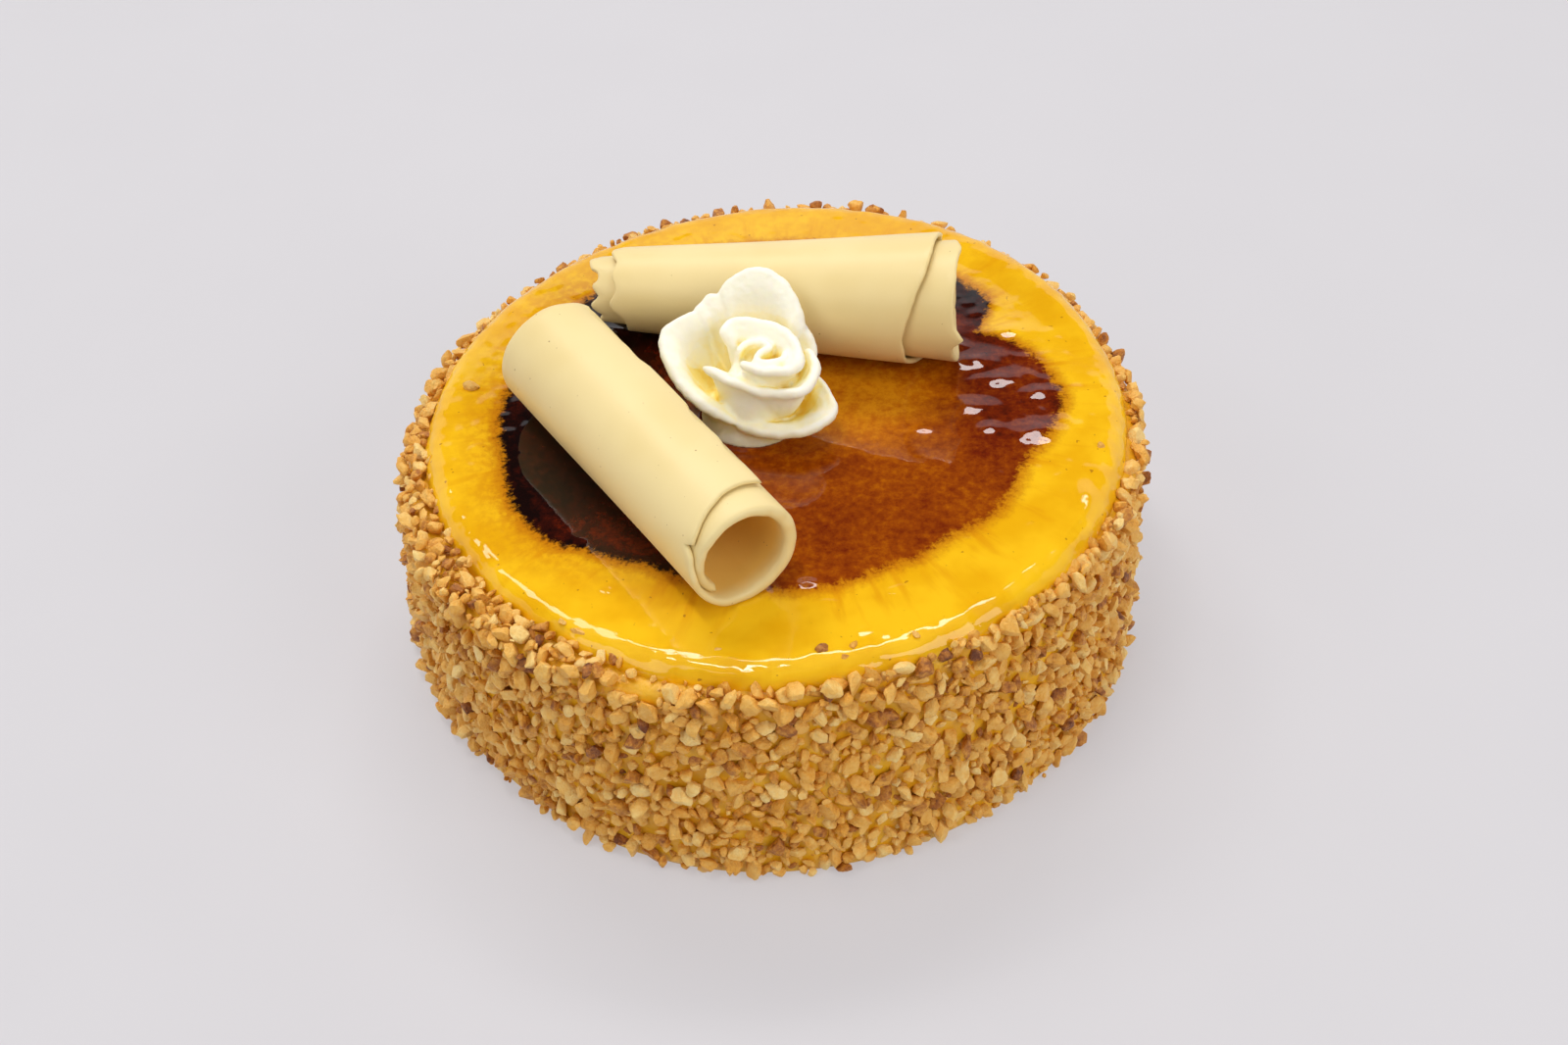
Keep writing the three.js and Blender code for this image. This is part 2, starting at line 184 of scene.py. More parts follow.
# The almonds: tries on the side and on the rim, middle size and its spread, smallest and largest size.
SIDE_TRIES, SIDE_SIZES = 17000, (1.46, 0.32, 0.76, 2.6)
RIM_TRIES, RIM_SIZES = 3400, (1.3, 0.3, 0.72, 2.4)
# Sizes over the first are finely faceted, and sizes under the second are crumbs.
LARGE_ALMOND, CRUMB = 2.12, 1.0
ALMOND_CREASE = math.radians(34)
# How dark a pale one may be, and from where on a smaller one is brown. Between them it is golden.
PALE_ALMOND = 0.443
PALE_BIT, BROWN_BIT = 0.33, 0.47
# How near two almonds may lie, as a part of their sizes.
CLOSENESS = 0.64

# ---- Helpers ------------------------------------------------------------------------------------------


def smooth(low, high, x):
    t = np.clip((np.asarray(x, float) - low) / (high - low), 0, 1)
    return t * t * (3 - 2 * t)


def pairs_at(pairs, x):
    return np.interp(x, [p[0] for p in pairs], [p[1] for p in pairs])


def rounded(part, least):
    """The height of a round edge from its tip, where part is 0 and the height is kept to a least, to 1."""
    return math.sqrt(max(least, 1 - (1 - min(1, part)) ** 2))


def wobble(points, size, seed=0):
    """Smooth noise from about -1 to 1 at each point, with features of that size."""
    shift = Vector((seed * 17.3, seed * 5.1, seed * 9.7))
    return np.array([noise.noise(Vector(p) / size + shift) for p in points])


def outline(shape, angle, out=0.0):
    (cx, cy), radius, waves = shape
    reach = radius + out + sum(c * np.cos(n * angle) + s * np.sin(n * angle) for n, c, s in waves)
    return cx + reach * np.cos(angle), cy + reach * np.sin(angle)


def coat_point(angle, height, out=0.0):
    fx, fy = outline(COAT_FOOT, angle, out)
    tx, ty = outline(COAT_TOP, angle, out)
    t = height / CAKE_HEIGHT
    return fx + (tx - fx) * t, fy + (ty - fy) * t


def collar_height(angle):
    return COLLAR_FRONT + (COLLAR_BACK - COLLAR_FRONT) * (1 + np.sin(angle)) / 2


def new_object(name, mesh, material, crease=None):
    """Adds a piece, shaded smooth except over edges sharper than crease."""
    piece = bpy.data.objects.new(name, mesh)
    bpy.context.scene.collection.objects.link(piece)
    mesh.materials.clear()
    mesh.materials.append(material)
    mesh.shade_smooth()
    if crease is not None:
        mesh.set_sharp_from_angle(angle=crease)
    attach(piece, "root")
    return piece


def mesh_of(name, points, faces, **attributes):
    """A mesh from points in millimetres, with a number for each point under each attribute's name."""
    mesh = bpy.data.meshes.new(name)
    mesh.from_pydata((np.asarray(points, float) * MM).tolist(), [], faces)
    mesh.validate()
    for key, values in attributes.items():
        layer = mesh.attributes.new(key, "FLOAT", "POINT")
        layer.data.foreach_set("value", np.asarray(values, np.float32))
    return mesh


def ring_faces(columns, rows, closed_rows=False):
    """Quads between rings of points: ring j's point i is number j * columns + i."""
    faces = []
    for j in range(rows if closed_rows else rows - 1):
        for i in range(columns):
            k = (i + 1) % columns
            n = (j + 1) % rows
            faces.append((j * columns + i, j * columns + k, n * columns + k, n * columns + i))
    return faces


def capped_rings(rings):
    """Points and faces of a closed skin through rings, with a fan over the first and over the last."""
    columns = len(rings[0])
    points = np.concatenate([np.asarray(r, float) for r in rings])
    faces = ring_faces(columns, len(rings))
    first, last = len(points), len(points) + 1
    points = np.vstack([points, np.mean(rings[0], axis=0), np.mean(rings[-1], axis=0)])
    base = (len(rings) - 1) * columns
    for i in range(columns):
        k = (i + 1) % columns
        faces.append((k, i, first))
        faces.append((base + i, base + k, last))
    return points, faces


# ---- Materials ----------------------------------------------------------------------------------------


class Nodes:
    """The nodes of a new material or world, made one call at a time."""

    def __init__(self, name, kind=bpy.data.materials):
        self.owner = kind.new(name)
        self.owner.use_nodes = True
        self.tree = self.owner.node_tree
        coordinates = self.tree.nodes.new("ShaderNodeTexCoord")
        self.place = coordinates.outputs["Object"]
        self.direction = coordinates.outputs["Generated"]

    def put(self, socket, value):
        if isinstance(value, bpy.types.NodeSocket):
            self.tree.links.new(value, socket)
        elif value is not None:
            socket.default_value = value

    def set(self, **values):
        shader = self.tree.nodes["Principled BSDF"]
        for key, value in values.items():
            self.put(shader.inputs[key.replace("_", " ")], value)

    def noise(self, size, detail=2.0, roughness=0.5, place=None):
        node = self.tree.nodes.new("ShaderNodeTexNoise")
        node.inputs["Scale"].default_value = 1 / (size * MM)
        node.inputs["Detail"].default_value = detail
        node.inputs["Roughness"].default_value = roughness
        self.put(node.inputs["Vector"], place or self.place)
        return node.outputs["Fac"]

    def polar(self, centre, reach_scale):
        """Turns the place into (a direction from the centre at 60 mm, the distance times reach_scale)."""
        away = self.tree.nodes.new("ShaderNodeVectorMath")
        away.operation = "SUBTRACT"
        self.put(away.inputs[0], self.place)
        away.inputs[1].default_value = (centre[0] * MM, centre[1] * MM, 0)
        flat = self.tree.nodes.new("ShaderNodeVectorMath")
        flat.operation = "MULTIPLY"
        self.put(flat.inputs[0], away.outputs[0])
        flat.inputs[1].default_value = (1, 1, 0)
        unit = self.tree.nodes.new("ShaderNodeVectorMath")
        unit.operation = "NORMALIZE"
        self.put(unit.inputs[0], flat.outputs[0])
        length = self.tree.nodes.new("ShaderNodeVectorMath")
        length.operation = "LENGTH"
        self.put(length.inputs[0], flat.outputs[0])
        split = self.tree.nodes.new("ShaderNodeSeparateXYZ")
        self.put(split.inputs[0], unit.outputs[0])
        joined = self.tree.nodes.new("ShaderNodeCombineXYZ")
        self.put(joined.inputs[0], self.math("MULTIPLY", split.outputs[0], 60 * MM))
        self.put(joined.inputs[1], self.math("MULTIPLY", split.outputs[1], 60 * MM))
        self.put(joined.inputs[2], self.math("MULTIPLY", length.outputs["Value"], reach_scale))
        return joined.outputs[0]

    def attribute(self, name):
        node = self.tree.nodes.new("ShaderNodeAttribute")
        node.attribute_name = name
        return node.outputs["Fac"]

    def math(self, operation, a, b=None, c=None, clamp=False):
        node = self.tree.nodes.new("ShaderNodeMath")
        node.operation = operation
        node.use_clamp = clamp
        for socket, value in zip(node.inputs, (a, b, c)):
            self.put(socket, value)
        return node.outputs[0]

    def fit(self, value, low, high, to_low=0.0, to_high=1.0):
        node = self.tree.nodes.new("ShaderNodeMapRange")
        node.interpolation_type = "SMOOTHSTEP"
        for key, number in (("From Min", low), ("From Max", high), ("To Min", to_low), ("To Max", to_high)):
            node.inputs[key].default_value = number
        self.put(node.inputs["Value"], value)
        return node.outputs["Result"]

    def ramp(self, value, stops):
        node = self.tree.nodes.new("ShaderNodeValToRGB")
        elements = node.color_ramp.elements
        while len(elements) < len(stops):
            elements.new(0.5)
        for element, (position, colour) in zip(elements, stops):
            element.position = position
            element.color = (*colour, 1)
        self.put(node.inputs["Fac"], value)
        return node.outputs["Color"]

    def mix(self, amount, a, b):
        node = self.tree.nodes.new("ShaderNodeMix")
        node.data_type = "RGBA"
        self.put(node.inputs["Factor"], amount)
        for socket, value in ((node.inputs[6], a), (node.inputs[7], b)):
            self.put(socket, (*value, 1) if isinstance(value, tuple) else value)
        return node.outputs[2]

    def bump(self, height, depth, normal=None):
        """A bump whose height of 1 is that many millimetres."""
        node = self.tree.nodes.new("ShaderNodeBump")
        node.inputs["Distance"].default_value = depth * MM
        self.put(node.inputs["Height"], height)
        self.put(node.inputs["Normal"], normal)
        return node.outputs["Normal"]


def yolk_material():
    n = Nodes("glazed_yolk")
    fine = n.noise(0.7, 3.0, 0.65)
    grain = n.noise(2.4, 4.0, 0.65)
    broad = n.noise(16.0, 3.0, 0.55)
    rays = n.noise(3.2, 3.0, 0.6, place=n.polar(BURN_CENTRE, 0.16))
    hairs = n.noise(0.8, 2.0, 0.6, place=n.polar(BURN_CENTRE, 0.3))
    burn = n.attribute("burn")
    char = n.attribute("char")
    # the burnt part's edge, made ragged
    ragged = n.math("MULTIPLY_ADD", grain, 4.4, -2.2)
    fuzz = n.math("MULTIPLY_ADD", fine, 3.8, -1.9)
    hair = n.math("MULTIPLY_ADD", hairs, 2.6, -1.3)
    edge = n.math("ADD", burn, n.math("ADD", ragged, n.math("ADD", fuzz, hair)))
    # the yellow, browned in patches, in streaks from the middle and along the edge
    yellow = n.mix(n.fit(broad, 0.36, 0.64), (0.80, 0.41, 0.004), (0.90, 0.52, 0.010))
    toast = n.math("MULTIPLY", n.attribute("toast"), n.fit(grain, 0.36, 0.62, 0.25, 1.0))
    yellow = n.mix(toast, yellow, (0.66, 0.27, 0.006))
    yellow = n.mix(n.fit(rays, 0.52, 0.78, 0.0, 0.5), yellow, (0.79, 0.37, 0.003))
    smudge = n.math("MULTIPLY", n.fit(rays, 0.5, 0.7), n.fit(burn, -15.0, -1.0))
    yellow = n.mix(n.math("MULTIPLY", smudge, 0.55), yellow, (0.66, 0.25, 0.003))
    fleck = n.fit(n.noise(1.5, 1.0), 0.745, 0.79, 0.0, 0.7)
    yellow = n.mix(fleck, yellow, (0.34, 0.12, 0.008))
    toasted = n.fit(n.math("ADD", edge, n.math("MULTIPLY", burn, 0.4)), -5.5, 0.2)
    yellow = n.mix(n.math("MULTIPLY", toasted, 0.8), yellow, (0.50, 0.155, 0.003))
    # how dark it is burnt
    depth = n.math("ADD", char, n.math("MULTIPLY_ADD", grain, 0.62, -0.31))
    depth = n.math("ADD", depth, n.math("MULTIPLY_ADD", broad, 0.4, -0.2))
    depth = n.math("ADD", depth, n.math("MULTIPLY_ADD", fine, 0.26, -0.13), clamp=True)
    burnt = n.ramp(
        depth,
        [
            (0.0, (0.60, 0.23, 0.004)),
            (0.20, (0.44, 0.115, 0.001)),
            (0.40, (0.27, 0.048, 0.001)),
            (0.60, (0.15, 0.014, 0.001)),
            (0.80, (0.042, 0.004, 0.001)),
            (1.0, (0.007, 0.0012, 0.0008)),
        ],
    )
    inside = n.fit(edge, -0.6, 1.6)
    n.set(
        Base_Color=n.mix(inside, yellow, burnt),
        Roughness=n.fit(grain, 0.3, 0.7, 0.36, 0.5),
        Specular_IOR_Level=0.0,
        Coat_Weight=1.0,
        Coat_Roughness=0.03,
        Coat_IOR=1.45,
    )
    ripple = n.bump(n.noise(5.0, 1.0), 0.03)
    n.set(Normal=n.bump(grain, 0.05, normal=ripple), Coat_Normal=ripple)
    return n.owner


def coat_material():
    n = Nodes("yolk_cream")
    grain = n.noise(1.2, 3.0)
    broad = n.noise(9.0, 2.0)
    n.set(
        Base_Color=n.mix(n.fit(broad, 0.35, 0.65), (0.74, 0.36, 0.008), (0.84, 0.45, 0.012)),
        Roughness=n.fit(grain, 0.3, 0.7, 0.3, 0.5),
        Specular_IOR_Level=0.4,
        Normal=n.bump(grain, 0.25),
    )
    return n.owner


def almond_material():
    n = Nodes("roasted_almond")
    tone = n.attribute("tone")
    grain = n.noise(0.55, 2.0, 0.65)
    patch = n.noise(1.9, 1.0)
    value = n.math("ADD", tone, n.math("MULTIPLY_ADD", patch, 0.62, -0.31))
    value = n.math("ADD", value, n.math("MULTIPLY_ADD", grain, 0.36, -0.18), clamp=True)
    colour = n.ramp(
        value,
        [
            (0.0, (0.92, 0.66, 0.24)),
            (0.3, (0.88, 0.51, 0.115)),
            (0.6, (0.78, 0.37, 0.045)),
            (0.82, (0.45, 0.155, 0.018)),
            (1.0, (0.15, 0.04, 0.010)),
        ],
    )
    n.set(
        Base_Color=colour,
        Roughness=n.fit(grain, 0.3, 0.7, 0.4, 0.62),
        Specular_IOR_Level=0.45,
        Normal=n.bump(grain, 0.34),
    )
    return n.owner


def chocolate_material():
    n = Nodes("white_chocolate")
    broad = n.noise(22.0, 2.0)
    fine = n.noise(0.7, 2.0)
    speck = n.fit(n.noise(0.9, 0.0), 0.865, 0.885, 0.0, 0.8)
    colour = n.mix(n.fit(broad, 0.35, 0.65), (0.83, 0.655, 0.295), (0.86, 0.695, 0.335))
    # painted shade: the roll's innermost face is tinted deep amber for the shade and bounced light inside the
    # roll
    colour = n.mix(n.attribute("inside"), colour, (0.93, 0.60, 0.14))
    n.set(
        Base_Color=n.mix(speck, colour, (0.35, 0.2, 0.08)),
        Roughness=n.fit(broad, 0.3, 0.7, 0.36, 0.46),
        Specular_IOR_Level=0.4,
        Normal=n.bump(fine, 0.015),
    )
    return n.owner


def cream_material():
    n = Nodes("piped_cream")
    # painted shade: the cream turns yellow where the mesh hides its own sky and on its low sides, for shade
    # and light bounced from the glaze
    painted_hollow_shade = n.attribute("painted_hollow_shade")
    fine = n.noise(0.8, 3.0, 0.6)
    broad = n.noise(6.0, 2.0)
    amount = n.math("ADD", painted_hollow_shade, n.math("MULTIPLY_ADD", broad, 0.16, -0.08), clamp=True)
    colour = n.ramp(
        amount,
        [
            (0.12, (0.99, 0.955, 0.80)),
            (0.45, (0.98, 0.90, 0.60)),
            (0.72, (0.96, 0.80, 0.28)),
            (0.95, (0.91, 0.65, 0.08)),
        ],
    )
    n.set(
        Base_Color=colour,
        Roughness=n.fit(fine, 0.3, 0.7, 0.42, 0.58),
        Specular_IOR_Level=0.4,
        Subsurface_Weight=0.35,
        Subsurface_Radius=(1.0, 0.8, 0.45),
        Subsurface_Scale=0.004,
        Normal=n.bump(fine, 0.05),
    )
    return n.owner


# ---- Rolls --------------------------------------------------------------------------------------------


class Roll:
    """A sheet wound inwards from its outer edge, resting on the glaze."""

    def __init__(self, start, end, radii, start_angle, turns, thickness, cut_start, cut_end):
        self.radii, self.start_angle, self.turns = radii, start_angle, turns
        self.thickness, self.cut_start, self.cut_end = thickness, cut_start, cut_end
        turn = np.arange(72) / 72
        sines = np.sin(start_angle + turn * TURN)
        depths = [np.max((SHEET_PITCH * turn - radius) * sines) for radius in radii]
        low, high = [CAKE_HEIGHT + GAP + depth for depth in depths]
        self.base = np.array((*start, low), float)
        line = np.array((*end, high), float) - self.base
        self.length = np.linalg.norm(line)
        self.axis = line / self.length
        self.right = np.cross((0, 0, 1), self.axis)
        self.right /= np.linalg.norm(self.right)
        self.up = np.cross(self.axis, self.right)

    def point(self, turn, reach, depth=0.0, lift=0.0):
        """The sheet's point at a turn, that far along and below its outer face."""
        radius = self.radii[0] + (self.radii[1] - self.radii[0]) * reach / self.length
        radius = radius - SHEET_PITCH * turn - depth + lift
        angle = self.start_angle + turn * TURN
        across = np.multiply.outer(radius * np.cos(angle), self.right)
        across += np.multiply.outer(radius * np.sin(angle), self.up)
        return self.base + np.multiply.outer(reach, self.axis) + across

    def footprint(self, x, y):
        """(distance from the line under the roll, roll radius there, distance past the roll's ends)."""
        a, b = self.base[:2], self.base[:2] + self.axis[:2] * self.length
        ab = b - a
        t = ((x - a[0]) * ab[0] + (y - a[1]) * ab[1]) / ab.dot(ab)
        side = np.abs((x - a[0]) * ab[1] - (y - a[1]) * ab[0]) / np.linalg.norm(ab)
        past = np.maximum(-t, t - 1).clip(0) * np.linalg.norm(ab)
        radius = self.radii[0] + (self.radii[1] - self.radii[0]) * t.clip(0, 1)
        return side, radius, past


def roll_mesh(name, roll, ragged_start, ragged_end, relief):
    """The sheet with rounded edges. ragged_start and ragged_end give at a turn how far the torn end strays,
    relief(turn, reach) how far the sheet stands out. The number called inside is 1 on its innermost face,
    where painted shade deepens the chocolate to amber."""
    along_steps, arc_steps, per_turn = 50, 5, 84
    steps = int(roll.turns * per_turn)
    rings, inside = [], []
    for i in range(steps + 1):
        turn = roll.turns * i / steps
        thick = float(pairs_at(roll.thickness, turn))
        arc_left = min(turn, roll.turns - turn) * TURN * (roll.radii[0] - SHEET_PITCH * turn)
        half = thick / 2
        taper = rounded(arc_left / half, 0.06)
        first = float(pairs_at(roll.cut_start, turn)) + ragged_start(turn)
        last = roll.length - float(pairs_at(roll.cut_end, turn)) - ragged_end(turn)
        v = np.linspace(0, 1, along_steps + 1)
        inset = half * 0.9
        straight = first + inset + (last - first - 2 * inset) * v
        lip = (np.arange(1, arc_steps) / arc_steps - 0.5) * math.pi
        reach = np.concatenate([
            straight,
            last - inset + inset * np.cos(lip),
            straight[::-1],
            first + inset - inset * np.cos(lip),
        ])
        depth = half + taper * half * np.concatenate([
            -np.ones(along_steps + 1), np.sin(lip), np.ones(along_steps + 1), np.sin(-lip),
        ])
        # the outer long edge is chipped here and there
        chips = np.array([max(0.0, noise.noise(Vector((along / 6.5, 4.4, roll.turns)))) for along in reach])
        chipped = turn + 0.03 * chips * max(0.0, 1 - turn / 0.08)
        rings.append(roll.point(chipped, reach, depth, relief(turn, reach)))
        # painted shade: marks the innermost face, in the roll's mouth, for a deeper amber colour
        inner = smooth(roll.turns - 1.15, roll.turns - 0.95, turn) * smooth(0.4, 0.9, depth / thick)
        inside.append(inner * smooth(0.5, 5, np.minimum(reach - first, last - reach)))
    points, faces = capped_rings(rings)
    return mesh_of(name, points, faces, inside=np.append(np.concatenate(inside), (0, 0)))


def jag(turn, size, amount, seed, sharp=1.0):
    """Noise along a torn edge; sharp below 1 makes it step."""
    value = noise.noise(Vector((turn / size, seed * 3.7, seed * 1.3)))
    value = math.copysign(abs(value) ** sharp, value)
    return amount * value


# ---- The yolk layer -----------------------------------------------------------------------------------


def spot(x, y, place, size):
    """A soft round patch: 1 at its place, falling off over its size along x and along y."""
    return np.exp(-(((x - place[0]) / size[0]) ** 2) - ((y - place[1]) / size[1]) ** 2)


def rim_slope(x, y, degrees, spread, first, last, rise):
    """A slope towards the rim over some degrees of it: it rises between two distances from the middle."""
    dx, dy = x - YOLK[0][0], y - YOLK[0][1]
    turned_by = (np.degrees(np.arctan2(dy, dx)) - degrees + 180) % 360 - 180
    return rise * np.exp(-((turned_by / spread) ** 4)) * smooth(first, last, np.hypot(dx, dy))


def yolk_relief(x, y, rolls):
    """How far the glaze stands above its level at each point."""
    flat = np.column_stack([x, y, np.zeros_like(x)])
    height = 0.16 * wobble(flat, 34, 1) + 0.05 * wobble(flat, 13, 2) + 0.012 * wobble(flat, 5, 3)
    stray = 1 + 0.3 * wobble(flat, 2.6, 14)
    for place, wide, deep in GLAZE_LUMPS:
        height += LUMP_STEEPNESS * deep * spot(x, y, (place[0], place[1] + 0.7 * deep), (wide, deep)) * stray
    height += 0.10 * smooth(54, 61, np.hypot(x - 3, y - 4)) * smooth(0.1, 0.6, wobble(flat, 3.2, 8))
    height += rim_slope(x, y, 36, 19, 71, 79, 0.9)
    height += rim_slope(x, y, 226, 9.5, 69, 79, -1.9)
    # two drops at the left roll's near end
    height += 0.5 * spot(x, y, (6.8, -59.0), (1.5, 1.1)) + 0.4 * spot(x, y, (-19.3, -64), (2.2, 1.2))
    # the glaze climbs up the rolls and the rose
    fill = 3.6
    for roll in rolls:
        side, radius, past = roll.footprint(x, y)
        under = radius - np.sqrt(np.maximum(radius**2 - np.minimum(side, fill) ** 2, 1)) + GAP
        rise = under * np.exp(-np.maximum(side - fill, 0) / 0.9) * np.exp(-past / 1.2)
        height = np.maximum(height, height * 0.3 + rise * 0.95)
    away = np.hypot(x - ROSE_CENTRE.x, y - ROSE_CENTRE.y) - 12.4
    height = np.maximum(height, 0.7 * np.exp(-np.abs(away) / 0.9))
    return height


def yolk_mesh(rolls):
    columns = 560
    angle = np.arange(columns) / columns * TURN
    rings, edges = [], []
    flat_rows = 150
    for j in range(flat_rows):
        q = (j + 1) / flat_rows
        ex, ey = outline(YOLK, angle, -YOLK_SHOULDER)
        x = YOLK[0][0] + (ex - YOLK[0][0]) * q
        y = YOLK[0][1] + (ey - YOLK[0][1]) * q
        rings.append(np.column_stack([x, y, np.full(columns, CAKE_HEIGHT, float)]))
        edges.append(np.zeros(columns))
    arc = 14
    rim = np.column_stack([np.cos(angle) * 80, np.sin(angle) * 80, np.zeros(columns)])
    swell = 0.45 * wobble(rim, 16, 5) + 0.22 * wobble(rim, 6, 6)
    hang = np.exp(-(((np.degrees(angle) - DRIP_ANGLE) / DRIP_SPREAD) ** 2))
    drop = 1.0 * wobble(rim, 11, 7) + 2.6 * hang
    for k in range(1, arc + 1):
        slope = k / arc * math.pi / 2
        bent = rim + (0, 0, 9 * slope)
        ripple = 0.2 * wobble(bent, 4.4, 9) + 0.10 * wobble(bent, 1.9, 10)
        out = -YOLK_SHOULDER * (1 - math.sin(slope)) + (swell + 0.5 * hang) * math.sin(slope) + ripple
        x, y = outline(YOLK, angle, out)
        z = CAKE_HEIGHT - YOLK_SHOULDER * (1 - math.cos(slope)) + ripple * math.cos(slope)
        rings.append(np.column_stack([x, y, z]))
        edges.append(np.full(columns, slope))
    for k in range(1, 5):
        x, y = outline(YOLK, angle, swell + 0.5 * hang - 0.8 * (k / 4) ** 2)
        z = CAKE_HEIGHT - YOLK_SHOULDER - (YOLK_DEPTH - YOLK_SHOULDER + 0.6 + drop) * k / 4
        rings.append(np.column_stack([x, y, z]))
        edges.append(np.full(columns, math.pi / 2))
    x, y = outline(YOLK, angle, -4)
    rings.append(np.column_stack([x, y, np.full(columns, CAKE_HEIGHT - YOLK_DEPTH + 1.0)]))
    edges.append(np.full(columns, math.pi / 2))
    grid = np.concatenate(rings)
    edge = np.concatenate(edges)
    grid[:, 2] += yolk_relief(grid[:, 0], grid[:, 1], rolls) * np.cos(edge)
    rings = grid.reshape(len(rings), columns, 3)
    points, faces = capped_rings(list(rings))
    # the middle fan's point goes on the glaze; the faces, made from the middle outwards, are turned over
    points[-2] = (*YOLK[0], CAKE_HEIGHT + 0.1)
    faces = [tuple(reversed(f)) for f in faces]
    dx, dy = points[:, 0] - BURN_CENTRE[0], points[:, 1] - BURN_CENTRE[1]
    reach = pairs_at(BURN_EDGE, np.degrees(np.arctan2(dy, dx)) % 360)
    burn = reach - np.hypot(dx, dy)
    char = char_at(points[:, 0], points[:, 1], burn)
    # the yellow is browned further out at the left and the back
    toast = 0.75 * smooth(-16, -1, burn) * smooth(-10, -52, points[:, 0]) + 0.3 * smooth(20, 70, points[:, 1])
    return mesh_of("yolk_glaze", points, faces, burn=burn, char=char, toast=toast)


def char_at(x, y, burn):
    """How black the burnt disc is, from 0 for amber to 1."""
    # the amber zone right of the rose is partly the glaze's own paler burn and partly painted light,
    # lightened to make up for the rose's shadow
    pale = np.hypot((x - 20) / 34, (y - 3) / 24)
    char = 0.08 + 0.34 * smooth(0.25, 1.1, pale)
    char += (0.02 + 0.16 * smooth(10, -20, x)) * smooth(6, 1, burn)
    char += 0.34 * smooth(2, -26, x) + 0.20 * smooth(-20, -50, x) * smooth(-46, -20, y)
    char += 0.18 * smooth(38, 52, x) * smooth(-28, -8, y)
    char += 0.3 * smooth(22, 40, y)
    return np.clip(char, 0, 1)


# ---- The coat and its almonds -------------------------------------------------------------------------


def coat_mesh():
    columns = 240
    angle = np.arange(columns) / columns * TURN
    rings = []

    def ring(height, out):
        x, y = coat_point(angle, height, out)
        return np.column_stack([x, y, height + np.zeros(columns)])

    rings.append(ring(np.zeros(columns), -1.0))
    top = collar_height(angle)
    rows = 30
    for j in range(rows + 1):
        height = 0.8 + (top - 1.8 - 0.8) * j / rows
        rings.append(ring(height, 0.2 * math.sin(math.pi * j / rows) - 0.7))
    rings.append(ring(top - 0.6, -1.6))
    rings.append(ring(top, -3.0))
    x, y = outline(YOLK, angle, -YOLK_SHOULDER)
    rings.append(np.column_stack([x, y, top]))
    x, y = outline(YOLK, angle, -YOLK_SHOULDER - 1)
    rings.append(np.column_stack([x, y, np.full(columns, CAKE_HEIGHT - YOLK_DEPTH - GAP)]))
    grid = np.concatenate(rings)
    outward = grid[:, :2] / np.linalg.norm(grid[:, :2], axis=1)[:, None]
    wave = 0.35 * wobble(grid, 7, 11) + 0.2 * wobble(grid, 3, 12)
    wave[: columns] = 0
    grid[:, :2] += outward * wave[:, None]
    points, faces = capped_rings(list(grid.reshape(len(rings), columns, 3)))
    return mesh_of("cream_coat", points, faces)


def chunk_shapes(subdivisions, count, rng):
    """Chopped pieces about one unit across the radius: lumps broken flat along planes."""
    bm = bmesh.new()
    bmesh.ops.create_icosphere(bm, subdivisions=subdivisions, radius=1)
    ball = np.array([v.co[:] for v in bm.verts])
    faces = np.array([[v.index for v in f.verts] for f in bm.faces])
    near = [[e.other_vert(v).index for e in v.link_edges] for v in bm.verts]
    bm.free()
    shapes = []
    for _ in range(count):
        shift = Vector(rng.uniform(0, 50, 3))
        lumps = np.array([noise.noise(Vector(p) * 1.5 + shift) for p in ball])
        shape = ball * (1 + 0.34 * lumps)[:, None]
        for _ in range(rng.integers(6, 10)):
            normal = rng.normal(size=3)
            normal /= np.linalg.norm(normal)
            over = (shape @ normal - rng.uniform(0.42, 0.8)).clip(0)
            shape -= over[:, None] * normal
        softened = np.array([shape[k].mean(axis=0) for k in near])
        shape = 0.86 * shape + 0.14 * softened
        shape += 0.075 * np.array([noise.noise_vector(Vector(p) * 3.4 + shift) for p in shape])
        shape *= (1, rng.uniform(0.62, 0.92), rng.uniform(0.5, 0.8))
        shapes.append(shape * 1.08)
    return np.array(shapes), faces


def scatter(places, sizes):
    """Which places to keep, largest pieces first, so that none lies too deep in another."""
    cell = 6.0
    steps = [(dx, dy, dz) for dx in (-1, 0, 1) for dy in (-1, 0, 1) for dz in (-1, 0, 1)]
    grid = {}
    kept = []
    for i in np.argsort(-sizes):
        key = tuple((places[i] // cell).astype(int))
        near = [j for step in steps for j in grid.get(tuple(np.add(key, step).tolist()), ())]
        apart = np.linalg.norm(places[near] - places[i], axis=1)
        if np.all(apart >= CLOSENESS * (sizes[near] + sizes[i])):
            grid.setdefault(key, []).append(i)
            kept.append(i)
    return np.array(kept)


def turned(rng, outward):
    """A turn that lays a piece's thin side roughly along outward."""
    axis = outward + rng.normal(size=3) * 0.95
    axis /= np.linalg.norm(axis)
    side = np.cross(axis, rng.normal(size=3))
    side /= np.linalg.norm(side)
    return np.column_stack([side, np.cross(axis, side), axis])


def bare_at(angle):
    """1 where the glaze hangs over the side and holds no almonds, falling to 0 beside it."""
    return math.exp(-(((math.degrees(angle) - DRIP_ANGLE) / DRIP_SPREAD) ** 2))


def almond_size(rng, middle, spread, least, most):
    return float(np.clip(rng.lognormal(math.log(middle), spread), least, most))


